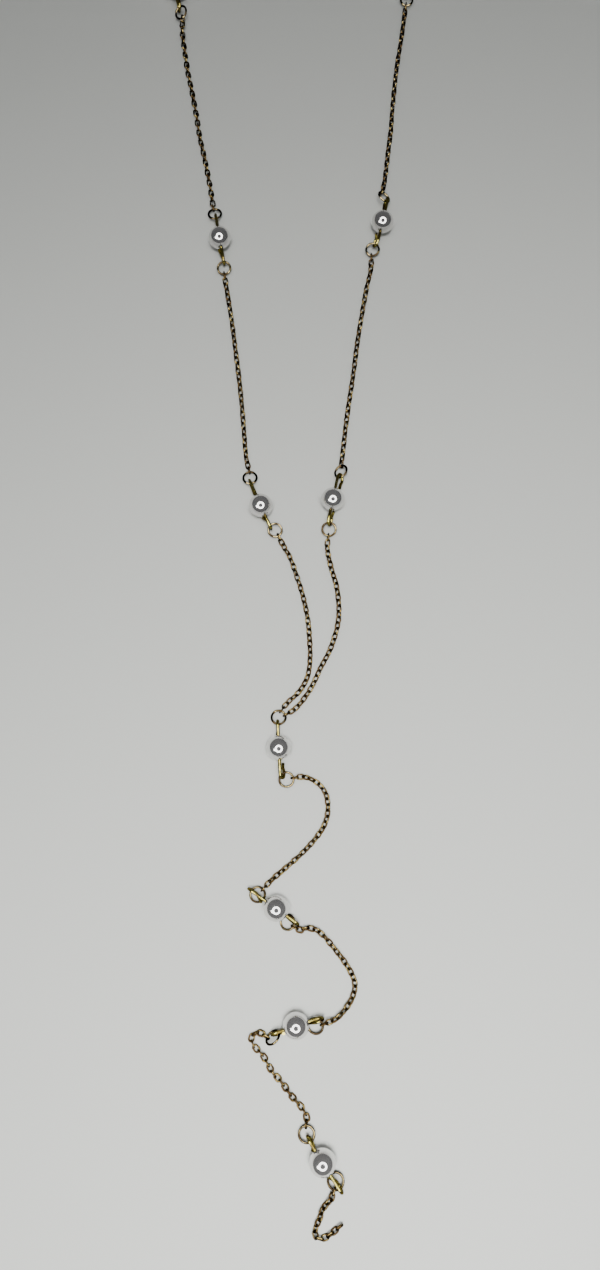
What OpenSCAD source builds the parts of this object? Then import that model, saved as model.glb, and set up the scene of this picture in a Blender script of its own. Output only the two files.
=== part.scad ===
// Lariat necklace: pearl stations on fine cable chain, lying flat as a long loop with a hanging drop.
// Millimetres, +Z up, the surface it lies on is z = 0, and +Y runs from the end of the drop to the clasp.

/* [Pearls] */
// Diameter of each pearl
pearl_d = 6; // [5.8:0.1:6.2]
// Hole drilled through each pearl for its pin
pearl_hole_d = 0.9; // [0.8:0.05:1.1]

/* [Eye pins] */
// Thickness of the pin wire
pin_wire = 0.6; // [0.5:0.05:0.65]
// Outside diameter of the eye at each end of a pin
eye_d = 3.2; // [3.1:0.05:3.3]

/* [Jump rings] */
// Outside diameter of each jump ring
ring_d = 4; // [3.9:0.05:4.1]
// Thickness of the jump ring wire
ring_wire = 0.55; // [0.45:0.05:0.55]

/* [Chain] */
// Outside length of a chain link
link_length = 2.46; // [2.44:0.02:2.5]
// Outside width of a chain link
link_width = 1.5; // [1.48:0.02:1.54]
// Thickness of the chain wire
link_wire = 0.28; // [0.26:0.02:0.3]

/* [Clasp] */
// Length of the clasp's barrel
barrel_length = 9; // [8.5:0.5:9.5]
// Diameter of the clasp's barrel
barrel_d = 3.8; // [3.4:0.2:4]

/* [Hidden] */
$fn = 24;
gold = "#c9a23c";
pale_gold = "#d8c06a";
brown_gold = "#8c6a36";
pearl_white = "#dcd9d2";

rest_gap = 0.05;
wire_gap = 0.13;
pin_z = pearl_d / 2;
eye_r = (eye_d - pin_wire) / 2;
eye_turn = 296;
ring_r = (ring_d - ring_wire) / 2;
bend_r = (link_width - link_wire) / 2;
straight = link_length - link_width;
ring_to_link = (link_length - link_wire) / 2 - (link_wire + ring_wire) / 2 - wire_gap;
step_down = 0.16;
settle = 4;

tube_d = 1.1;
tube_sides = 8;
tube_step = 3.2;
tube_gap = ring_wire / 2 + 0.2;

// Pearl stations, from the clasp down each side and then down the drop.
// name, pearl x, pearl y, heading of the pin towards its upper eye,
// distance from pearl to upper eye and to lower eye, lean of the upper eye and of the lower eye
STATIONS = [
    ["left_top", -34.2, 136.6, 98, 5.4, 5.5, 0, -13],
    ["left_upper", -20.4, 54.4, 100, 6.7, 5.9, 0, 0],
    ["left_lower", -8.5, -22.5, 113, 6.6, 5.1, 0, 8],
    ["right_top", 33.4, 142.2, 86, 5.4, 5.9, 0, 0],
    ["right_upper", 24.1, 59.3, 77, 6.9, 5.6, 18, -24],
    ["right_lower", 9.9, -20.8, 78, 6.1, 5.3, -30, 18],
    ["drop_first", -3.6, -84.1, 93, 5.4, 5.9, 0, 22],
    ["drop_second", -4, -121.4, 146, 6.6, 5, 0, -12],
    ["drop_third", 0.6, -147, 18, 5, 4.6, -28, 18],
    ["drop_last", 6.5, -175.3, 124, 4.7, 6.4, 0, 0]
];

// Jump rings, two for each station in turn: the upper eye's, then the lower eye's.
// direction from eye to ring, dip of the far side, roll, place of the ring's wire in the eye: outwards and downwards
RINGS = [
    [98, 10, 0, 0.5, 0.3], [288, 7, 29, 0.35, -0.15],
    [104, 10, 0, 0.5, 0.3], [272, 10, 0, 0.5, 0.3],
    [96, 10, 0, 0.5, 0.3], [320, 10, 0, 0.3, 0.3],
    [86, 10, 0, 0.5, 0.3], [262, 10, 0, 0.5, 0.3],
    [109, 6, 35, 0.4, 0], [245, 10, 0, 0.5, 0.3],
    [85, 9, -34, 0.55, 0], [262, 10, 0, 0.5, 0.3],
    [84, 10, 0, 0.5, 0.3], [302, 7, 0, 0.2, 0.3],
    [326, 10, 0, 0.5, 0.3], [181, 20, 2, 0.3, 0.1],
    [238, 14, 7, 0.4, 0], [218, 3, 58, -0.35, -0.2],
    [124, 10, 0, -0.1, 0.3], [124, 10, 0, 0.5, 0.3]
];

// The clasp's barrel and the direction of the ring at each end of it.
CLASP = [-0.5, 190.4];
CLASP_RINGS = [188, -6];
CLASP_LEFT = 20;
CLASP_RIGHT = 21;

// Chains. name, first ring, place on it, last ring, place on it (degrees from the ring's far side),
// distance between links, turn from link to link, route between the rings
CHAINS = [
    ["left_back", CLASP_LEFT, 0, 0, 0, 1.72, 90,
        [[-15, 189.2], [-23, 185.2], [-30, 178.5], [-34.5, 169.5], [-36.5, 160.5], [-36.4, 152.5]]],
    ["left_top", 1, 0, 2, 0, 1.72, 90,
        [[-32.6, 122.5], [-31, 111], [-29, 101], [-27, 90], [-25, 80], [-23.5, 72]]],
    ["left_middle", 3, 0, 4, 0, 1.7, 90,
        [[-18.4, 40], [-17.4, 34], [-16.4, 27], [-15.5, 20], [-14.6, 13], [-13.8, 5.5], [-13.2, -1.5], [-12.6, -8]]],
    ["left_lower", 5, -20, 12, -14, 1.7, 80,
        [[-2.9, -32.2], [-0.9, -36], [0.9, -41.3], [2.3, -46], [3.4, -51.5], [3.9, -57], [4, -62], [3.2, -66.5],
         [1.1, -70], [-1.7, -72.9]]],
    ["right_back", CLASP_RIGHT, 0, 6, 0, 1.72, 90,
        [[14.5, 189.4], [22, 185.6], [29, 179.2], [34.3, 170.8], [36.7, 162.5], [36, 156]]],
    ["right_top", 7, 0, 8, 0, 1.72, 72,
        [[31.5, 125.5], [30.5, 118.5], [29.5, 111.5], [28.5, 104], [27.7, 96], [27.2, 90], [26.5, 84], [26, 78],
         [25.3, 73.5]]],
    ["right_middle", 9, 14, 10, 0, 1.68, 78,
        [[20.8, 46], [19.7, 41], [18.7, 35.5], [17.7, 29.5], [16.9, 24.5], [16.2, 19], [15.3, 12.5], [14.3, 6],
         [13.5, 0], [12.8, -6]]],
    ["right_lower", 11, 0, 12, -64, 1.72, 84,
        [[8.5, -33.5], [9.4, -38.3], [10.6, -42.6], [11.2, -47], [11.2, -51.5], [10.3, -55.8], [8.8, -60],
         [6.7, -64], [4.7, -68.3], [2.6, -71.7], [0.4, -74.3]]],
    ["drop_first", 13, 72, 14, 79, 1.64, 84,
        [[2.6, -91], [5.6, -92.3], [7.7, -95], [8.2, -99], [7.2, -102.6], [4.8, -106], [1.6, -109.3], [-2, -112.4],
         [-5, -114.9]]],
    ["drop_second", 15, 146, 16, 138, 1.66, 84,
        [[1.5, -126.5], [3.2, -126.5], [5.2, -126.7], [7.3, -128.1], [9.4, -130.4], [11.7, -133.3], [13.5, -136.2],
         [14.2, -138.5], [13.7, -141], [12, -143.7], [9.7, -145.8]]],
    ["drop_third", 17, -46, 18, -30, 1.6, 84,
        [[-7.4, -148.9], [-9.1, -149.2], [-10.2, -150.7], [-9.4, -152.5], [-7.8, -153.6], [-6.3, -155.2], [-4.8, -157.3],
         [-3, -159.2], [-1.4, -161.1], [0.2, -162.9], [1.8, -164.6], [3, -166.4]]],
    ["drop_end", 19, 136, -1, 0, 1.6, 84,
        [[8, -184], [6.8, -185.4], [5.4, -187], [4.6, -188.8], [5.3, -191.3], [6.8, -191.6], [8.7, -191.1],
         [10.3, -189.9], [11.1, -188.9]]]
];
TUBES = ["left_back", "left_top", "right_back", "right_top"];

function last(list) = list[len(list) - 1];
function unit(v) = v / norm(v);
function flat(angle) = [cos(angle), sin(angle), 0];
UP = [0, 0, 1];

// Frame with its x axis along a direction and its y axis turned by a roll from level.
function level_side(dir) = unit(cross(UP, dir));
function frame_y(dir, roll) =
    let (side = level_side(dir), lift = cross(dir, side)) cos(roll) * side + sin(roll) * lift;
function frame_at(place, dir, roll) =
    let (y = frame_y(dir, roll), z = cross(dir, y))
    [[dir.x, y.x, z.x, place.x], [dir.y, y.y, z.y, place.y], [dir.z, y.z, z.z, place.z], [0, 0, 0, 1]];

// Eye pins. An eye hangs below the pin's axis, and a lean swings it sideways.
function pearl_middle(s) = [s[1], s[2], pin_z];
function eye_dir(s, end) = flat(s[3] + 180 * end);
function eye_start(s, end) = pearl_middle(s) + s[4 + end] * eye_dir(s, end);
function eye_hang(s, end) =
    let (lean = s[6 + end]) sin(lean) * level_side(eye_dir(s, end)) - cos(lean) * UP;
function eye_middle(s, end) = eye_start(s, end) + eye_r * eye_hang(s, end);

// Jump rings. A ring starts inside its eye and dips towards its far side.
function dipped(heading, dip) = cos(dip) * flat(heading) - sin(dip) * UP;
function ring_from(start, heading, dip, roll) =
    let (dir = dipped(heading, dip)) [start + ring_r * dir, dir, roll];
function station_ring(i) =
    let (s = STATIONS[floor(i / 2)], end = i % 2, r = RINGS[i])
    ring_from(eye_middle(s, end) + r[3] * eye_dir(s, end) + r[4] * eye_hang(s, end), r[0], r[1], r[2]);
barrel_z = barrel_d / 2 + rest_gap;
barrel_eye = barrel_length / 2 + eye_r;
clasp_dip = 9;
barrel_hold = eye_r - (pin_wire + ring_wire) / 2 - wire_gap;
function clasp_ring(end) =
    ring_from([CLASP.x, CLASP.y, barrel_z - barrel_hold] + (end * 2 - 1) * barrel_eye * [1, 0, 0], CLASP_RINGS[end], clasp_dip, 0);
function ring(i) = i < len(RINGS) ? station_ring(i) : clasp_ring(i - CLASP_LEFT);
function ring_point(r, angle) = r[0] + ring_r * (cos(angle) * r[1] + sin(angle) * frame_y(r[1], r[2]));

// How far a ring's wire slopes from level where a chain takes hold of it.
function wire_slope(r, angle) = asin((cos(angle) * frame_y(r[1], r[2]) - sin(angle) * r[1]).z);

// Chain routes, as smooth curves read off by length.
function through(a, b, c, d, t) =
    0.5 * (2 * b + (c - a) * t + (2 * a - 5 * b + 4 * c - d) * t * t + (3 * b - a - 3 * c + d) * t * t * t);
function smooth(p) =
    let (n = len(p), q = concat([2 * p[0] - p[1]], p, [2 * p[n - 1] - p[n - 2]]))
    concat([for (i = [1:n - 1], t = [0:0.125:0.875]) through(q[i - 1], q[i], q[i + 1], q[i + 2], t)], [p[n - 1]]);
function lengths(p) = [for (i = 0, s = 0; i < len(p); s = s + (i + 1 < len(p) ? norm(p[i + 1] - p[i]) : 0), i = i + 1) s];
function column(s, p, k) = [for (i = [0:len(p) - 1]) [s[i], p[i][k]]];
function read_at(at, tables) = [lookup(at, tables[0]), lookup(at, tables[1])];
function level(p) = [p.x, p.y];
function chain_start(c) = ring_point(ring(c[1]), c[2]);
function chain_stop(c) = c[3] < 0 ? concat(last(c[7]), [0]) : ring_point(ring(c[3]), c[4]);
function chain_curve(c) =
    smooth(concat([level(chain_start(c))], c[7], c[3] < 0 ? [] : [level(chain_stop(c))]));

// Links. Each turns against the one before it, and lies as low as it and its neighbours allow.
function link_roll(i, n, turn, first_roll, last_roll) =
    let (gap = last_roll - first_roll - (n - 1) * turn, spare = gap - 180 * round(gap / 180))
    first_roll + i * turn + spare * (min(1, i / settle) + max(0, 1 - (n - 1 - i) / settle)) / 2;
function needed_z(roll) = bend_r * abs(sin(roll)) + link_wire / 2 + rest_gap;
function link_frames(c) =
    let (
        p = chain_curve(c),
        s = lengths(p),
        tables = [column(s, p, 0), column(s, p, 1)],
        stop_gap = c[3] < 0 ? link_length / 2 : ring_to_link,
        run = last(s) - ring_to_link - stop_gap,
        n = 1 + round(run / c[5]),
        pitch = run / (n - 1),
        first_roll = 90 + wire_slope(ring(c[1]), c[2]),
        last_roll = 90 - (c[3] < 0 ? 0 : wire_slope(ring(c[3]), c[4])),
        rolls = [for (i = [0:n - 1]) link_roll(i, n, c[6], first_roll, last_roll)],
        first_z = chain_start(c).z,
        last_z = chain_stop(c).z,
        places = [for (i = [0:n - 1])
            let (
                own = needed_z(rolls[i]),
                before = i > 0 ? needed_z(rolls[i - 1]) - step_down : 0,
                after = i < n - 1 ? needed_z(rolls[i + 1]) - step_down : 0,
                lift = max(first_z - i * step_down, last_z - (n - 1 - i) * step_down)
            )
            concat(read_at(ring_to_link + i * pitch, tables), [max(own, before, after, lift)])]
    )
    [for (i = [0:n - 1])
        let (dir = unit(places[min(i + 1, n - 1)] - places[max(i - 1, 0)])) frame_at(places[i], dir, rolls[i])];

module chain_link() {
    for (end = [0, 1])
        mirror([end, 0, 0])
            translate([straight / 2, 0, 0])
                rotate([0, 0, -90])
                    rotate_extrude(angle = 180)
                        translate([bend_r, 0])
                            circle(d = link_wire);
    for (side = [-1, 1])
        translate([0, side * bend_r, 0])
            rotate([0, 90, 0])
                cylinder(d = link_wire, h = straight, center = true);
}

module link_chain(c) {
    color(brown_gold)
        for (frame = link_frames(c))
            multmatrix(frame)
                chain_link();
}

// A tube over the stretch that a chain covers between two rings.
module chain_tube(c) {
    p = chain_curve(c);
    s = lengths(p);
    tables = [column(s, p, 0), column(s, p, 1)];
    run = last(s) - 2 * tube_gap;
    n = ceil(run / tube_step);
    middles = [for (i = [0:n]) concat(read_at(tube_gap + i * run / n, tables), [tube_d / 2 + rest_gap])];
    points = [for (i = [0:n])
        let (dir = unit(middles[min(i + 1, n)] - middles[max(i - 1, 0)]))
        for (k = [0:tube_sides - 1]) middles[i] + tube_d / 2 * frame_y(dir, 360 * k / tube_sides)];
    walls = [for (i = [0:n - 1], k = [0:tube_sides - 1])
        let (j = (k + 1) % tube_sides)
        [i * tube_sides + k, i * tube_sides + j, (i + 1) * tube_sides + j, (i + 1) * tube_sides + k]];
    first_cap = [for (k = [tube_sides - 1:-1:0]) k];
    last_cap = [for (k = [0:tube_sides - 1]) n * tube_sides + k];
    color(brown_gold)
        polyhedron(points = points, faces = concat(walls, [first_cap, last_cap]));
}

module pearl(s) {
    color(pearl_white)
        translate([s[1], s[2], pin_z])
            rotate([0, 90, s[3]])
                difference() {
                    sphere(d = pearl_d);
                    cylinder(d = pearl_hole_d, h = pearl_d + 1, center = true);
                }
}

// One eye, with its wire coming in along +X to the origin and its loop hanging towards -Z.
module pin_eye() {
    rotate([90, 0, 0])
        translate([0, -eye_r, 0])
            rotate([0, 0, 90 - eye_turn])
                rotate_extrude(angle = eye_turn)
                    translate([eye_r, 0])
                        circle(d = pin_wire);
}

module eye_pin(s) {
    color(gold)
        translate(pearl_middle(s))
            rotate([0, 0, s[3]]) {
                translate([-s[5], 0, 0])
                    rotate([0, 90, 0])
                        cylinder(d = pin_wire, h = s[4] + s[5]);
                translate([s[4], 0, 0])
                    rotate([s[6], 0, 0])
                        pin_eye();
                rotate([0, 0, 180])
                    translate([s[5], 0, 0])
                        rotate([s[7], 0, 0])
                            pin_eye();
            }
}

module jump_ring(r) {
    color(pale_gold)
        multmatrix(frame_at(r[0], r[1], r[2]))
            rotate_extrude()
                translate([ring_r, 0])
                    circle(d = ring_wire);
}

module clasp() {
    shoulder = 0.8;
    color(gold)
        translate([CLASP.x, CLASP.y, barrel_z])
            rotate([0, 90, 0]) {
                cylinder(d = barrel_d, h = barrel_length - 2 * shoulder, center = true);
                for (end = [0, 1])
                    mirror([0, 0, end]) {
                        translate([0, 0, barrel_length / 2 - shoulder])
                            cylinder(d1 = barrel_d, d2 = barrel_d / 2, h = shoulder);
                        translate([0, 0, barrel_eye])
                            rotate([90, 0, 0])
                                rotate_extrude()
                                    translate([eye_r, 0])
                                        circle(d = pin_wire);
                    }
            }
}

function is_tube(c) = len([for (t = TUBES) if (t == c[0]) t]) > 0;
function ring_name(i) = str(i % 2 == 0 ? "ring_above_" : "ring_below_", STATIONS[floor(i / 2)][0]);

for (s = STATIONS) {
    pearl(s);
    eye_pin(s);
}
for (i = [0:len(RINGS) - 1])
    jump_ring(ring(i));
for (c = CHAINS)
    union() {
        if (is_tube(c)) chain_tube(c);
        else link_chain(c);
    }
clasp();
jump_ring(ring(CLASP_LEFT));  // clasp_ring_left
jump_ring(ring(CLASP_RIGHT));  // clasp_ring_right
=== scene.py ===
"""Lariat necklace: pearls, wire and fine link chain on a pale floor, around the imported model."""

import math
import random

import bpy
from mathutils import Matrix, Vector


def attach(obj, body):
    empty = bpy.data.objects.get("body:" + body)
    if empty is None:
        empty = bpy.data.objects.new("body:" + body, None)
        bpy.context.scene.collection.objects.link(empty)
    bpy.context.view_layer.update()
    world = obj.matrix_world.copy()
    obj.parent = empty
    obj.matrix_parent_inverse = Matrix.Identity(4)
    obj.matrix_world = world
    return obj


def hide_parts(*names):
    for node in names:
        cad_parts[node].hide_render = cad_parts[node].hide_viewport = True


bl_info = {
    "name": "Pearl lariat necklace",
    "version": (1, 0, 0),
    "blender": (4, 5, 0),
    "location": "View3D > Sidebar > Necklace",
    "description": "Builds the chains and finishes of a pearl lariat necklace that lies on a pale floor",
    "category": "Object",
}

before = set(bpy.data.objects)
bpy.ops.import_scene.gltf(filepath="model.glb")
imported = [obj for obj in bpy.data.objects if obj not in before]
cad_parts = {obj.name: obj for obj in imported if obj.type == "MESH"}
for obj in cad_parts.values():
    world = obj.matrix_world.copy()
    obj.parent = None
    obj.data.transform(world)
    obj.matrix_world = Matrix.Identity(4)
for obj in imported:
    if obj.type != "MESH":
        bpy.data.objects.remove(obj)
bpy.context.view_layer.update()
MM = 0.001

# name, middle of the first ring's wire, its slope, middle of the last ring's wire, its slope, link length,
# link pitch, route (mm, degrees); a free end has no last ring
CHAINS = [
    ("left_back", (-9.67, 189.93, 0.82), 0, (-35.49, 145.81, 0.8), 0, 2.5, 1.6,
     [(-15, 189.2), (-23, 185.2), (-30, 178.5), (-34.5, 169.5), (-36.5, 160.5), (-36.4, 152.5)]),
    ("left_top", (-32.58, 127.51, 1.46), 29, (-22.47, 64.79, 0.8), 0, 2.52, 1.64,
     [(-32.6, 122.4), (-31, 111.2), (-29.5, 103.5), (-28.1, 96), (-26.8, 88), (-25.1, 80.1), (-23.5, 71.5)]),
    ("left_middle", (-19.17, 44.7, 0.8), 0, (-11.63, -12.59, 0.8), 0, 2.48, 1.6,
     [(-18.4, 40), (-17.4, 34), (-16.4, 27), (-15.5, 20), (-14.6, 13), (-13.8, 5.5), (-13.2, -1.5),
      (-12.6, -8)]),
    ("left_lower", (-4.04, -29.95, 0.83), -3, (-3.14, -74.92, 0.81), -2, 2.34, 1.45,
     [(-2.9, -32.2), (-0.9, -36), (0.9, -41.3), (2.3, -46), (3.4, -51.5), (3.9, -57), (4, -62), (3.3, -66.5),
      (1.3, -70.1), (-1.6, -72.9)]),
    ("right_back", (8.69, 190.04, 0.82), 0, (34.05, 151.47, 0.8), 0, 2.5, 1.6,
     [(14.5, 189.4), (22, 185.6), (29, 179.2), (34.3, 170.8), (36.7, 162.5), (36, 156)]),
    ("right_top", (32.48, 132.45, 0.8), 0, (24.23, 69.75, 1.4), 35, 2.52, 1.64,
     [(31.6, 126), (30.5, 118.5), (29.4, 111.5), (28.5, 104), (27.7, 96), (27.2, 90), (26.4, 84), (25.7, 78),
      (25, 73)]),
    ("right_middle", (21.06, 50.29, 0.95), 2, (12.22, -11.04, 1.33), -34, 2.48, 1.6,
     [(20.8, 46), (19.7, 41), (18.7, 35.5), (17.7, 29.5), (16.9, 24.5), (16.2, 19), (15.3, 12.5), (14.3, 6),
      (13.5, 0), (12.8, -6)]),
    ("right_lower", (8.7, -29.94, 0.88), 0, (-2.11, -75.94, 0.97), -9, 2.34, 1.45,
     [(8.5, -33.5), (9.4, -38.3), (10.6, -42.6), (11.2, -47), (11.2, -51.5), (10.3, -55.8), (8.8, -60),
      (6.7, -64), (4.7, -68.3), (2.6, -71.7), (0.4, -74.3)]),
    ("drop_first", (-0.1, -91.19, 1.24), 7, (-7.26, -117.16, 1.04), 10, 2.28, 1.4,
     [(2.6, -91), (5.6, -92.3), (7.7, -95), (8.2, -99), (7.2, -102.6), (4.8, -106), (1.6, -109.3),
      (-2, -112.4), (-5, -114.9)]),
    ("drop_second", (-0.04, -125.57, 1.56), 9, (6.65, -146.91, 1.88), 4, 2.24, 1.36,
     [(1.4, -126.3), (3.1, -126), (5.1, -126.3), (7.1, -127.8), (9.3, -130.3), (11.7, -133.3), (13.5, -136.2),
      (14.2, -138.5), (13.7, -141), (12, -143.7), (9.7, -145.8)]),
    ("drop_third", (-6, -149.88, 0.75), 33, (2.87, -168.38, 0.84), -5, 2.22, 1.34,
     [(-7.6, -149), (-9, -149.2), (-9.6, -150.4), (-8.8, -152), (-7.3, -153.4), (-6, -155.3), (-4.7, -157.4),
      (-2.9, -159.2), (-1.4, -161.1), (-0.1, -162.7), (1.6, -164.4), (2.9, -166.3)]),
    ("drop_end", (9.1, -181.3, 1.32), 7, None, None, 2.16, 1.24,
     [(8.3, -183.3), (7.2, -184.5), (6.3, -185.8), (5.8, -187.4), (5, -189), (4.9, -190.5), (5.9, -191.2),
      (7.2, -190.9), (8.7, -190), (10, -189), (11.1, -188.4)]),
]

# station, x and y of its pearl's middle, heading of its pin's upper end, then for the upper and lower end:
# pearl's middle to the eye, lean, place of the cut end beside the pin (in wire thicknesses, to the left as
# seen from the pearl), and the cut end's distance from the pearl's middle (mm, degrees)
PINS = [
    ("left_top", -34.2, 136.6, 98, (5.4, 0, 0.8, 3.5), (5.5, -13, -0.8, 3.5)),
    ("left_upper", -20.4, 54.4, 100, (6.7, 0, 0, 3.5), (5.9, 0, -1, 3.5)),
    ("left_lower", -8.5, -22.5, 113, (6.6, 0, 0.3, 3.5), (5.1, 8, -1, 3.4)),
    ("right_top", 33.4, 142.2, 86, (5.4, 0, 0.8, 3.5), (5.9, 0, -0.8, 3.5)),
    ("right_upper", 24.1, 59.3, 77, (6.9, 18, 0.5, 3.6), (5.6, -24, -1.1, 4)),
    ("right_lower", 9.9, -20.8, 78, (6.1, -30, -1.2, 3.5), (5.3, 18, 1, 3.4)),
    ("drop_first", -3.6, -84.1, 93, (5.4, 0, 0.3, 3.5), (5.9, 22, 0.9, 4.1)),
    ("drop_second", -4, -121.4, 146, (6.6, 0, 1, 3.9), (5, -12, 0, 3.4)),
    ("drop_third", 0.6, -147, 18, (5, -28, -0.2, 3.4), (4.6, 18, 0.8, 3.4)),
    ("drop_last", 6.5, -175.3, 124, (4.7, 0, 0.7, 3.4), (6.4, 0, -0.6, 3.5)),
]
PEARL_MIDDLE = 3 * MM
RING_WIRE = 0.55 * MM
UP = Vector((0, 0, 1))

# Camera, floor and lamps (metres, degrees)
CAMERA_PLACE = (0.0015, -0.1035, 0.225)
CAMERA_TILT = 12
FLOOR_SIZE = 4
LAMP_WHITE = (1, 0.995, 0.98)
SOFT_LAMP_PLACE = (0.03, -0.25, 0.85)
SOFT_LAMP_CONE = 43
SOFT_LAMP_RADIUS = 0.22
WIDE_LAMP_PLACE = (0, 0, 3)
WIDE_LAMP_SIZE = 5
RING_LAMP_PLACE = (0, -0.33, 0.9)
RING_LAMP_TILT = 15
RING_LAMP_RADIUS = 0.66
RING_LAMP_WIDTH = 0.32
BRACKET_FROM = 185
BRACKET_TO = 225
BRACKET_REACH = (-0.4, 0.02, 0)

# Random lean and swing of each link (degrees)
LINK_SEED = 7
LINK_LEAN = 9
LINK_SWING = 4


class ChainSizes(bpy.types.PropertyGroup):
    """Sizes and colours of the link chain."""
    link_width: bpy.props.FloatProperty(
        name="Link width", description="Outside width of a link", default=1.7 * MM, unit="LENGTH")
    link_wire: bpy.props.FloatProperty(
        name="Link wire", description="Thickness of a link's wire", default=0.46 * MM, unit="LENGTH")
    bright: bpy.props.FloatVectorProperty(
        name="Bright gold", description="Colour of the polished wire", size=3, subtype="COLOR",
        min=0, max=1, default=(0.4, 0.31, 0.11))
    # Tarnish darkens the links in random patches and also gives the painted shade along their sides.
    tarnish_and_side_shade: bpy.props.FloatVectorProperty(
        name="Tarnish", description="Colour of the darkened wire", size=3, subtype="COLOR",
        min=0, max=1, default=(0.095, 0.058, 0.022))


class WireSizes(bpy.types.PropertyGroup):
    """Sizes and colours of the eye pins, jump rings and clasp."""
    pin_wire: bpy.props.FloatProperty(
        name="Pin wire", description="Thickness of the pin wire", default=0.76 * MM, unit="LENGTH")
    eye_reach: bpy.props.FloatProperty(
        name="Eye radius", description="Radius of an eye, to the middle of its wire", default=1.26 * MM,
        unit="LENGTH")
    pin_gold: bpy.props.FloatVectorProperty(
        name="Pin gold", description="Colour of the eye pins and clasp", size=3, subtype="COLOR",
        min=0, max=1, default=(0.52, 0.46, 0.12))
    ring_gold: bpy.props.FloatVectorProperty(
        name="Ring gold", description="Colour of the jump rings", size=3, subtype="COLOR",
        min=0, max=1, default=(0.46, 0.37, 0.18))
    polish: bpy.props.FloatProperty(
        name="Polish", description="Roughness of the polished wire", default=0.06, min=0.02, max=0.5)


class PearlSizes(bpy.types.PropertyGroup):
    """Colours and lustre of the pearls, and the painted shade on their middles."""
    body: bpy.props.FloatVectorProperty(
        name="Pearl body", description="Colour of the pearl", size=3, subtype="COLOR",
        min=0, max=1, default=(0.7, 0.7, 0.695))
    blush: bpy.props.FloatVectorProperty(
        name="Blush", description="Warmer colour that drifts over the pearl", size=3, subtype="COLOR",
        min=0, max=1, default=(0.72, 0.69, 0.67))
    lustre: bpy.props.FloatProperty(
        name="Lustre", description="How much the pearl mirrors the room", default=0.86, min=0, max=1)
    # Painted shade: the pearl's colour is multiplied by this where it faces the eye, darkening the room's
    # reflection in its middle.
    depth: bpy.props.FloatProperty(
        name="Depth", description="How bright the pearl is where it faces the eye, against its rim",
        default=0.72, min=0, max=1)


class StageSizes(bpy.types.PropertyGroup):
    """Floor and light."""
    floor: bpy.props.FloatVectorProperty(
        name="Floor", description="Colour of the floor", size=3, subtype="COLOR",
        min=0, max=1, default=(0.615, 0.63, 0.6))
    room: bpy.props.FloatProperty(
        name="Room light", description="Strength of the dim room around", default=0.085, min=0, max=2)
    lamp: bpy.props.FloatProperty(
        name="Soft lamp", description="Power of the soft lamp that lights the floor near the free end",
        default=76.0, min=0, max=1000, unit="POWER")
    wide: bpy.props.FloatProperty(
        name="Wide lamp", description="Power of the wide lamp that lights the whole floor", default=43.0,
        min=0, max=1000, unit="POWER")
    glint: bpy.props.FloatProperty(
        name="Glint", description="Strength of the ring lamp that shows in pearls and gold", default=10.0,
        min=0, max=50)


def deselect():
    """Leaves nothing selected or active."""
    bpy.ops.object.select_all(action="DESELECT")
    bpy.context.view_layer.objects.active = None


def pick(*pieces):
    """Selects these pieces only, and makes the first one active."""
    deselect()
    for piece in pieces:
        piece.select_set(True)
    bpy.context.view_layer.objects.active = pieces[0]


def through(a, b, c, d, t):
    """The point at share t between b and c, on a smooth curve through four points."""
    square = (2 * a - 5 * b + 4 * c - d) * t * t
    cube = (3 * b - a - 3 * c + d) * t ** 3
    return 0.5 * (2 * b + (c - a) * t + square + cube)


def smooth_route(points):
    """A smooth curve through the points, in eight steps from each to the next."""
    ends = [2 * points[0] - points[1]] + points + [2 * points[-1] - points[-2]]
    steps = 8
    curve = [through(*ends[i - 1:i + 3], k / steps) for i in range(1, len(points)) for k in range(steps)]
    return curve + [points[-1]]


def read_at(curve, lengths, at):
    """The point of a curve at a length along it. The last step is drawn out where the length runs past it."""
    for i in range(1, len(curve)):
        if lengths[i] >= at or i == len(curve) - 1:
            share = (at - lengths[i - 1]) / (lengths[i] - lengths[i - 1])
            return curve[i - 1].lerp(curve[i], share)


def link_rolls(count, first_roll, last_roll):
    """Each link turns a quarter against the one before it. Away from the rings they lie on their edges."""
    settle = 2
    rest = 45
    spare = 0
    if last_roll is not None:
        gap = last_roll - first_roll - (count - 1) * 90
        spare = gap - 180 * round(gap / 180)
    lean = rest if spare >= 0 else -rest
    rolls = []
    for i in range(count):
        start = min(1, i / settle)
        stop = 1 if last_roll is None else min(1, (count - 1 - i) / settle)
        rolls.append(first_roll + i * 90 + lean * min(start, stop) + spare * (1 - stop))
    return rolls


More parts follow.
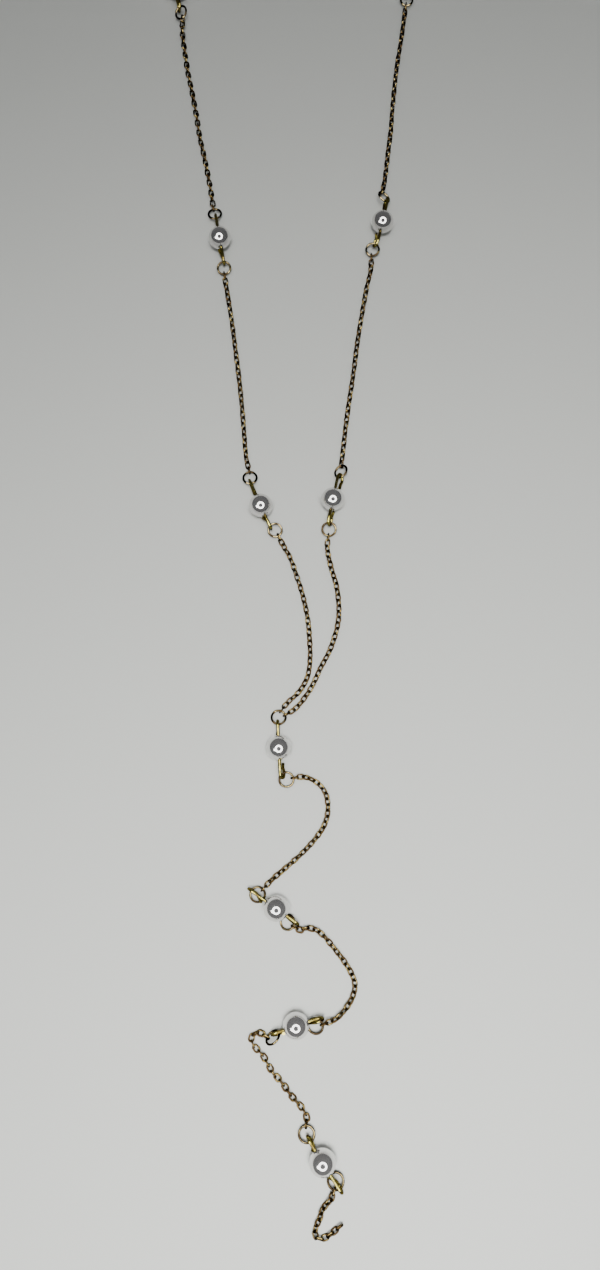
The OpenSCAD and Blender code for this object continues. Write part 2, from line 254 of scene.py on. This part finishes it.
def link_places(chain, sizes):
    """Places of a chain's links along its route, each as low as it and its neighbours allow."""
    first, first_slope, last, last_slope, length, pitch, route = chain[1:]
    first = Vector(first) * MM
    length = length * MM
    play = 0.06 * MM
    floor_gap = 0.03 * MM
    drop = 0.2 * MM
    points = [first.to_2d()] + [Vector(p) * MM for p in route]
    free = last is None
    if not free:
        last = Vector(last) * MM
        points.append(last.to_2d())
    curve = smooth_route(points)
    lengths = [0]
    for a, b in zip(curve, curve[1:]):
        lengths.append(lengths[-1] + (b - a).length)
    hold = (length - sizes.link_wire) / 2 - (sizes.link_wire + RING_WIRE) / 2 - play
    run = lengths[-1] - hold - (length / 2 if free else hold)
    count = 1 + round(run / (pitch * MM))
    rolls = link_rolls(count, 90 + first_slope, None if free else 90 - last_slope)
    bend = (sizes.link_width - sizes.link_wire) / 2
    needed = [bend * abs(math.sin(math.radians(r))) + sizes.link_wire / 2 + floor_gap for r in rolls]
    middles = []
    for i in range(count):
        flat = read_at(curve, lengths, hold + i * run / (count - 1))
        lift = max(first.z - i * drop, 0 if free else last.z - (count - 1 - i) * drop)
        middles.append(Vector((flat.x, flat.y, max(needed[i], lift))))
    places = []
    for i, middle in enumerate(middles):
        along = (middles[min(i + 1, count - 1)] - middles[max(i - 1, 0)]).normalized()
        side = UP.cross(along).normalized()
        lift = along.cross(side)
        roll = math.radians(rolls[i])
        across = math.cos(roll) * side + math.sin(roll) * lift
        normal = along.cross(across)
        turned = Matrix((along, across, normal)).transposed().to_4x4()
        places.append(Matrix.Translation(middle) @ turned)
    return places


def chain_link(sizes, length):
    """One link: a ring of wire pulled apart into an oval."""
    deselect()
    bend = (sizes.link_width - sizes.link_wire) / 2
    bpy.ops.mesh.primitive_torus_add(
        major_radius=bend, minor_radius=sizes.link_wire / 2, major_segments=12, minor_segments=6)
    link = bpy.context.object
    link.name = "link"
    half = (length - sizes.link_width) / 2
    for side in (1, -1):
        for part in (*link.data.edges, *link.data.polygons):
            part.select = False
        for v in link.data.vertices:
            v.select = v.co.x * side > 0
        bpy.ops.object.mode_set(mode="EDIT")
        bpy.ops.mesh.select_mode(type="VERT")
        bpy.ops.transform.translate(value=(half * side, 0, 0))
        bpy.ops.object.mode_set(mode="OBJECT")
    bpy.ops.object.shade_smooth()
    return link


def eye_end(middle, out, end, sizes):
    """Points of a pin's wire from the pearl's middle out to the eye, round it and back beside the pin."""
    reach, lean, beside, cut = end
    reach = reach * MM
    cut = cut * MM
    lean = math.radians(lean)
    tuck = 0.2 * MM
    hang_beside = 0.3
    hang_below = 0.8
    clear = 1.05
    leg_steps = 6
    eye_steps = 26
    side = UP.cross(out)
    hang = math.sin(lean) * side - math.cos(lean) * UP
    r = sizes.eye_reach
    level = 1 - min(1, abs(beside))
    tip = Vector((cut - tuck, sizes.pin_wire * (hang_beside + hang_below * level)))
    from_eye = tip - Vector((reach, r))
    turn = math.degrees(math.atan2(from_eye.x, -from_eye.y)) % 360
    last = turn - math.degrees(math.acos(min(1, r / from_eye.length)))
    points = [middle + reach * out * k / leg_steps for k in range(leg_steps)]
    for k in range(eye_steps + 1):
        a = math.radians(last * k / eye_steps)
        points.append(middle + (reach + r * math.sin(a)) * out + r * (1 - math.cos(a)) * hang)
    back = middle + tip.x * out + tip.y * hang + beside * clear * sizes.pin_wire * side
    start = points[-1]
    points += [start.lerp(back, k / leg_steps) for k in range(1, leg_steps + 1)]
    return points


def bend_wire(name, points, sizes):
    """A round wire through a row of points, as a mesh with closed ends."""
    same_place = 0.000001
    round_angle = 50
    deselect()
    bpy.ops.curve.primitive_bezier_curve_add()
    wire = bpy.context.object
    wire.name = name
    wire.data.splines.clear()
    spline = wire.data.splines.new("POLY")
    spline.points.add(len(points) - 1)
    for point, place in zip(spline.points, points):
        point.co = (*place, 1)
    wire.data.dimensions = "3D"
    wire.data.bevel_depth = sizes.pin_wire / 2
    wire.data.bevel_resolution = 2
    wire.data.use_fill_caps = True
    wire.location = (0, 0, 0)
    bpy.ops.object.convert(target="MESH")
    wire = bpy.context.object
    bpy.ops.object.mode_set(mode="EDIT")
    bpy.ops.mesh.select_all(action="SELECT")
    bpy.ops.mesh.remove_doubles(threshold=same_place)
    bpy.ops.mesh.normals_make_consistent(inside=False)
    bpy.ops.object.mode_set(mode="OBJECT")
    bpy.ops.object.shade_smooth_by_angle(angle=math.radians(round_angle))
    return wire


def shader_group(name, inputs, outputs):
    """A new node group with named inputs and outputs."""
    group = bpy.data.node_groups.new(name, "ShaderNodeTree")
    for label, kind, value in inputs:
        socket = group.interface.new_socket(name=label, in_out="INPUT", socket_type=kind)
        socket.default_value = value
    for label, kind in outputs:
        group.interface.new_socket(name=label, in_out="OUTPUT", socket_type=kind)
    nodes, links = group.nodes, group.links
    start = nodes.new("NodeGroupInput")
    end = nodes.new("NodeGroupOutput")
    return group, nodes, links, start, end


def metal_wear_group():
    """Colour and roughness of worn plated wire: dark in patches, bright where it is rubbed."""
    if "metal wear" in bpy.data.node_groups:
        return bpy.data.node_groups["metal wear"]
    share_weight = 0.5
    worn_below = 0.69
    dark_above = 0.81
    scratch_scale = 4000.0
    scratch_depth = 0.06
    group, nodes, links, start, end = shader_group(
        "metal wear",
        [("Bright", "NodeSocketColor", (0.8, 0.6, 0.3, 1)), ("Dark", "NodeSocketColor", (0.2, 0.1, 0.04, 1)),
         ("Patch Scale", "NodeSocketFloat", 300.0), ("Dark Share", "NodeSocketFloat", 0.5),
         ("Roughness", "NodeSocketFloat", 0.2)],
        [("Color", "NodeSocketColor"), ("Roughness", "NodeSocketFloat"), ("Height", "NodeSocketFloat")])
    place = nodes.new("ShaderNodeTexCoord")
    patches = nodes.new("ShaderNodeTexNoise")
    patches.inputs["Detail"].default_value = 3.0
    links.new(place.outputs["Object"], patches.inputs["Vector"])
    links.new(start.outputs["Patch Scale"], patches.inputs["Scale"])
    share = nodes.new("ShaderNodeMath")
    share.operation = "MULTIPLY_ADD"
    share.inputs[1].default_value = share_weight
    links.new(start.outputs["Dark Share"], share.inputs[0])
    links.new(patches.outputs["Fac"], share.inputs[2])
    step = nodes.new("ShaderNodeMapRange")
    step.inputs["From Min"].default_value = worn_below
    step.inputs["From Max"].default_value = dark_above
    links.new(share.outputs["Value"], step.inputs["Value"])
    mix = nodes.new("ShaderNodeMix")
    mix.data_type = "RGBA"
    links.new(step.outputs["Result"], mix.inputs["Factor"])
    links.new(start.outputs["Bright"], mix.inputs["A"])
    links.new(start.outputs["Dark"], mix.inputs["B"])
    links.new(mix.outputs["Result"], end.inputs["Color"])
    scratch = nodes.new("ShaderNodeTexNoise")
    scratch.inputs["Scale"].default_value = scratch_scale
    links.new(place.outputs["Object"], scratch.inputs["Vector"])
    grain = nodes.new("ShaderNodeMath")
    grain.operation = "MULTIPLY_ADD"
    grain.inputs[1].default_value = scratch_depth
    links.new(scratch.outputs["Fac"], grain.inputs[0])
    links.new(start.outputs["Roughness"], grain.inputs[2])
    links.new(grain.outputs["Value"], end.inputs["Roughness"])
    links.new(scratch.outputs["Fac"], end.inputs["Height"])
    return group


def metal_material(name, bright, dark, patch_scale, dark_share, core, rim, roughness, bump):
    """Polished wire: bright along the middle as far as core, and darker towards its sides as they turn from
    the eye, down to rim times the dark colour there; this darkening is painted shade.
    """
    core_start = 0.02
    bump_height = 0.00002
    material = bpy.data.materials.new(name)
    material.use_nodes = True
    nodes, links = material.node_tree.nodes, material.node_tree.links
    shader = nodes["Principled BSDF"]
    shader.inputs["Metallic"].default_value = 1.0
    shader.inputs["Specular Tint"].default_value = (0.15, 0.15, 0.15, 1)
    wear = nodes.new("ShaderNodeGroup")
    wear.node_tree = metal_wear_group()
    wear.inputs["Bright"].default_value = (*bright, 1)
    wear.inputs["Dark"].default_value = (*dark, 1)
    wear.inputs["Patch Scale"].default_value = patch_scale
    wear.inputs["Dark Share"].default_value = dark_share
    wear.inputs["Roughness"].default_value = roughness
    # Painted shade: Layer Weight darkens the colour towards the wire's sides as seen from the eye.
    facing = nodes.new("ShaderNodeLayerWeight")
    facing.inputs["Blend"].default_value = 0.5
    side_shade_mask = nodes.new("ShaderNodeMapRange")
    side_shade_mask.inputs["From Min"].default_value = core_start
    side_shade_mask.inputs["From Max"].default_value = core
    links.new(facing.outputs["Facing"], side_shade_mask.inputs["Value"])
    shade = nodes.new("ShaderNodeMix")
    shade.data_type = "RGBA"
    links.new(side_shade_mask.outputs["Result"], shade.inputs["Factor"])
    links.new(wear.outputs["Color"], shade.inputs["A"])
    shade.inputs["B"].default_value = (*[rim * c for c in dark], 1)
    links.new(shade.outputs["Result"], shader.inputs["Base Color"])
    links.new(wear.outputs["Roughness"], shader.inputs["Roughness"])
    bumped = nodes.new("ShaderNodeBump")
    bumped.inputs["Strength"].default_value = bump
    bumped.inputs["Distance"].default_value = bump_height
    links.new(wear.outputs["Height"], bumped.inputs["Height"])
    links.new(bumped.outputs["Normal"], shader.inputs["Normal"])
    return material


def pearl_material(sizes):
    """Nacre that mirrors the room, with painted shade that darkens it where it faces the eye, and a blush
    that drifts over it.
    """
    painted_shade_below = 0.24
    rim_above = 0.44
    drift_scale = 260.0
    skin_scale = 1400.0
    skin_height = 0.00001
    material = bpy.data.materials.new("pearl lustre")
    material.use_nodes = True
    nodes, links = material.node_tree.nodes, material.node_tree.links
    shader = nodes["Principled BSDF"]
    shader.inputs["Metallic"].default_value = sizes.lustre
    shader.inputs["Roughness"].default_value = 0.09
    shader.inputs["Coat Weight"].default_value = 0.6
    shader.inputs["Coat Roughness"].default_value = 0.04
    place = nodes.new("ShaderNodeTexCoord")
    drift = nodes.new("ShaderNodeTexNoise")
    drift.inputs["Scale"].default_value = drift_scale
    links.new(place.outputs["Object"], drift.inputs["Vector"])
    mix = nodes.new("ShaderNodeMix")
    mix.data_type = "RGBA"
    mix.inputs["A"].default_value = (*sizes.body, 1)
    mix.inputs["B"].default_value = (*sizes.blush, 1)
    links.new(drift.outputs["Fac"], mix.inputs["Factor"])
    # Painted shade: darker where the pearl faces the eye, full colour towards its rim.
    facing = nodes.new("ShaderNodeLayerWeight")
    facing.inputs["Blend"].default_value = 0.5
    depth = nodes.new("ShaderNodeMapRange")
    depth.interpolation_type = "SMOOTHSTEP"
    depth.inputs["From Min"].default_value = painted_shade_below
    depth.inputs["From Max"].default_value = rim_above
    depth.inputs["To Min"].default_value = sizes.depth
    links.new(facing.outputs["Facing"], depth.inputs["Value"])
    shaded_body = nodes.new("ShaderNodeMix")
    shaded_body.data_type = "RGBA"
    shaded_body.inputs["A"].default_value = (0, 0, 0, 1)
    links.new(depth.outputs["Result"], shaded_body.inputs["Factor"])
    links.new(mix.outputs["Result"], shaded_body.inputs["B"])
    links.new(shaded_body.outputs["Result"], shader.inputs["Base Color"])
    skin = nodes.new("ShaderNodeTexNoise")
    skin.inputs["Scale"].default_value = skin_scale
    links.new(place.outputs["Object"], skin.inputs["Vector"])
    bumped = nodes.new("ShaderNodeBump")
    bumped.inputs["Strength"].default_value = 0.15
    bumped.inputs["Distance"].default_value = skin_height
    links.new(skin.outputs["Fac"], bumped.inputs["Height"])
    links.new(bumped.outputs["Normal"], shader.inputs["Normal"])
    return material


def give_material(mesh, material):
    """Leaves a mesh with this material only."""
    mesh.materials.clear()
    mesh.materials.append(material)


def finish_node(name, material):
    """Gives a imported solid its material."""
    give_material(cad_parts[name].data, material)


def glint_lamp(sizes):
    """The ring lamp with its bracket. It shows in pearls and gold, and gives the floor no light."""
    deselect()
    bpy.ops.mesh.primitive_circle_add(vertices=96, radius=RING_LAMP_RADIUS, fill_type="NGON")
    lamp = bpy.context.object
    lamp.name = "ring_lamp"
    for f in lamp.data.polygons:
        f.select = True
    bpy.ops.object.mode_set(mode="EDIT")
    bpy.ops.mesh.inset(thickness=RING_LAMP_WIDTH)
    bpy.ops.mesh.delete(type="FACE")
    bpy.ops.mesh.select_mode(type="EDGE")
    bpy.ops.mesh.select_all(action="DESELECT")
    bpy.ops.object.mode_set(mode="OBJECT")
    for e in lamp.data.edges:
        a, b = [lamp.data.vertices[v].co for v in e.vertices]
        on_rim = min(a.length, b.length) > 0.95 * RING_LAMP_RADIUS
        around = math.degrees(math.atan2(a.y + b.y, a.x + b.x)) % 360
        e.select = on_rim and BRACKET_FROM < around < BRACKET_TO
    bpy.ops.object.mode_set(mode="EDIT")
    bpy.ops.mesh.extrude_region_move(TRANSFORM_OT_translate={"value": BRACKET_REACH})
    bpy.ops.object.mode_set(mode="OBJECT")
    lamp.rotation_euler = (math.radians(RING_LAMP_TILT), 0, 0)
    lamp.location = RING_LAMP_PLACE
    glow = bpy.data.materials.new("lamp glow")
    glow.use_nodes = True
    shader = glow.node_tree.nodes["Principled BSDF"]
    shader.inputs["Base Color"].default_value = (0, 0, 0, 1)
    shader.inputs["Emission Color"].default_value = (*LAMP_WHITE, 1)
    shader.inputs["Emission Strength"].default_value = sizes.glint
    lamp.data.materials.append(glow)
    lamp.visible_camera = False
    lamp.visible_diffuse = False
    lamp.visible_shadow = False


def add_camera(context):
    """The camera where the photo was taken from."""
    deselect()
    bpy.ops.object.camera_add(location=CAMERA_PLACE, rotation=(math.radians(CAMERA_TILT), 0, 0))
    camera = context.object
    camera.data.lens = 26
    camera.data.sensor_width = 36
    camera.data.clip_start = 0.01
    context.scene.camera = camera


def add_floor(context, sizes):
    """The plain pale floor under the necklace."""
    deselect()
    bpy.ops.mesh.primitive_plane_add(size=FLOOR_SIZE, location=(0, 0, 0))
    floor = context.object
    floor.name = "floor"
    pale = bpy.data.materials.new("pale floor")
    pale.use_nodes = True
    shader = pale.node_tree.nodes["Principled BSDF"]
    shader.inputs["Base Color"].default_value = (*sizes.floor, 1)
    shader.inputs["Roughness"].default_value = 0.9
    shader.inputs["Specular IOR Level"].default_value = 0.2
    floor.data.materials.append(pale)


def add_room(context, sizes):
    """The dim room that gives a little light from all round."""
    world = bpy.data.worlds.new("dim room")
    world.use_nodes = True
    background = world.node_tree.nodes["Background"]
    background.inputs["Color"].default_value = (0.93, 0.96, 1, 1)
    background.inputs["Strength"].default_value = sizes.room
    context.scene.world = world


def add_lamps(context, sizes):
    """The soft lamp near the free end and the wide lamp over the floor. Neither shows in pearls or gold."""
    deselect()
    bpy.ops.object.light_add(type="SPOT", location=SOFT_LAMP_PLACE)
    lamp = context.object
    lamp.name = "soft_lamp"
    lamp.data.spot_size = math.radians(SOFT_LAMP_CONE)
    lamp.data.spot_blend = 1
    lamp.data.shadow_soft_size = SOFT_LAMP_RADIUS
    lamp.data.energy = sizes.lamp
    lamp.data.color = LAMP_WHITE
    lamp.visible_glossy = False
    bpy.ops.object.light_add(type="AREA", location=WIDE_LAMP_PLACE)
    lamp = context.object
    lamp.name = "wide_lamp"
    lamp.data.shape = "DISK"
    lamp.data.size = WIDE_LAMP_SIZE
    lamp.data.energy = sizes.wide
    lamp.visible_glossy = False


class NECKLACE_OT_stage(bpy.types.Operator):
    """Adds the camera, the pale floor, the dim room, the soft and wide lamps and the ring lamp."""
    bl_idname = "necklace.stage"
    bl_label = "Floor, light and camera"

    def execute(self, context):
        sizes = context.scene.necklace_stage
        add_camera(context)
        add_floor(context, sizes)
        add_room(context, sizes)
        add_lamps(context, sizes)
        glint_lamp(sizes)
        return {"FINISHED"}


class NECKLACE_OT_pearls(bpy.types.Operator):
    """Gives the drilled pearls their lustre."""
    bl_idname = "necklace.pearls"
    bl_label = "Pearls"

    def execute(self, context):
        lustre = pearl_material(context.scene.necklace_pearl)
        for pin in PINS:
            finish_node("pearl_" + pin[0], lustre)
        return {"FINISHED"}


class NECKLACE_OT_pins(bpy.types.Operator):
    """Bends an eye pin through every pearl, in place of the solid that stands for it."""
    bl_idname = "necklace.pins"
    bl_label = "Eye pins"

    def execute(self, context):
        sizes = context.scene.necklace_wire
        # The dark colour, core and rim set the painted shade along the pin wire's sides.
        gold = metal_material(
            "pin gold", sizes.pin_gold, dark=(0.2, 0.15, 0.04), patch_scale=420, dark_share=0.4, core=0.5,
            rim=0.7, roughness=sizes.polish, bump=0.2)
        for name, x, y, heading, upper, lower in PINS:
            middle = Vector((x * MM, y * MM, PEARL_MIDDLE))
            out = Vector((math.cos(math.radians(heading)), math.sin(math.radians(heading)), 0))
            points = eye_end(middle, out, upper, sizes)[::-1] + eye_end(middle, -out, lower, sizes)[1:]
            piece = bend_wire("bent_pin_" + name, points, sizes)
            give_material(piece.data, gold)
            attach(piece, "root")
            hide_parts("eye_pin_" + name)
        finish_node("clasp", gold)
        return {"FINISHED"}


class NECKLACE_OT_rings(bpy.types.Operator):
    """Gives the jump rings their pale polished gold, with painted shade along the wire's sides."""
    bl_idname = "necklace.rings"
    bl_label = "Jump rings"

    def execute(self, context):
        sizes = context.scene.necklace_wire
        # The dark colour, core and rim set the painted shade along the ring wire's sides.
        gold = metal_material(
            "ring gold", sizes.ring_gold, dark=(0.07, 0.047, 0.023), patch_scale=520, dark_share=0.56,
            core=0.12, rim=0.15, roughness=sizes.polish, bump=0.2)
        for pin in PINS:
            finish_node("ring_above_" + pin[0], gold)
            finish_node("ring_below_" + pin[0], gold)
        finish_node("clasp_ring_left", gold)
        finish_node("clasp_ring_right", gold)
        return {"FINISHED"}


class NECKLACE_OT_chains(bpy.types.Operator):
    """Lays link chain along every route, in place of the solids that stand for it."""
    bl_idname = "necklace.chains"
    bl_label = "Link chains"

    def execute(self, context):
        sizes = context.scene.necklace_chain
        # The tarnish colour, core and rim set the painted shade along each link's sides.
        gold = metal_material(
            "chain gold", sizes.bright, dark=sizes.tarnish_and_side_shade, patch_scale=900, dark_share=0.64, core=0.34,
            rim=0.35, roughness=0.17, bump=0.3)
        chance = random.Random(LINK_SEED)
        for chain in CHAINS:
            name = chain[0]
            link_length = chain[5] * MM
            link = chain_link(sizes, link_length)
            links = []
            for place in link_places(chain, sizes):
                copy = link.copy()
                copy.data = link.data.copy()
                context.collection.objects.link(copy)
                turned = Matrix.Rotation(math.radians(chance.uniform(-LINK_LEAN, LINK_LEAN)), 4, "X")
                swung = Matrix.Rotation(math.radians(chance.uniform(-LINK_SWING, LINK_SWING)), 4, "Z")
                copy.matrix_world = place @ turned @ swung
                links.append(copy)
            pick(link)
            bpy.ops.object.delete()
            pick(*links)
            bpy.ops.object.join()
            bpy.ops.object.transform_apply(location=True, rotation=True, scale=True)
            piece = context.object
            piece.name = "links_" + name
            give_material(piece.data, gold)
            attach(piece, "root")
            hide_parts("chain_" + name)
        return {"FINISHED"}


class NECKLACE_PT_panel(bpy.types.Panel):
    """Lists the sizes and the steps."""
    bl_idname = "NECKLACE_PT_panel"
    bl_label = "Lariat necklace"
    bl_space_type = "VIEW_3D"
    bl_region_type = "UI"
    bl_category = "Necklace"

    def draw(self, context):
        column = self.layout.column()
        for group in (context.scene.necklace_stage, context.scene.necklace_pearl,
                      context.scene.necklace_wire, context.scene.necklace_chain):
            for name in group.__annotations__:
                column.prop(group, name)
        for step in STEPS:
            column.operator("necklace." + step)


STEPS = ("stage", "pearls", "pins", "rings", "chains")
CLASSES = (ChainSizes, WireSizes, PearlSizes, StageSizes, NECKLACE_OT_stage, NECKLACE_OT_pearls,
           NECKLACE_OT_pins, NECKLACE_OT_rings, NECKLACE_OT_chains, NECKLACE_PT_panel)


def register():
    for item in CLASSES:
        bpy.utils.register_class(item)
    bpy.types.Scene.necklace_chain = bpy.props.PointerProperty(type=ChainSizes)
    bpy.types.Scene.necklace_wire = bpy.props.PointerProperty(type=WireSizes)
    bpy.types.Scene.necklace_pearl = bpy.props.PointerProperty(type=PearlSizes)
    bpy.types.Scene.necklace_stage = bpy.props.PointerProperty(type=StageSizes)


def unregister():
    del bpy.types.Scene.necklace_chain
    del bpy.types.Scene.necklace_wire
    del bpy.types.Scene.necklace_pearl
    del bpy.types.Scene.necklace_stage
    for item in reversed(CLASSES):
        bpy.utils.unregister_class(item)


def main():
    register()
    bpy.ops.necklace.stage()
    bpy.ops.necklace.pearls()
    bpy.ops.necklace.pins()
    bpy.ops.necklace.rings()
    bpy.ops.necklace.chains()


if __name__ == "__main__":
    main()
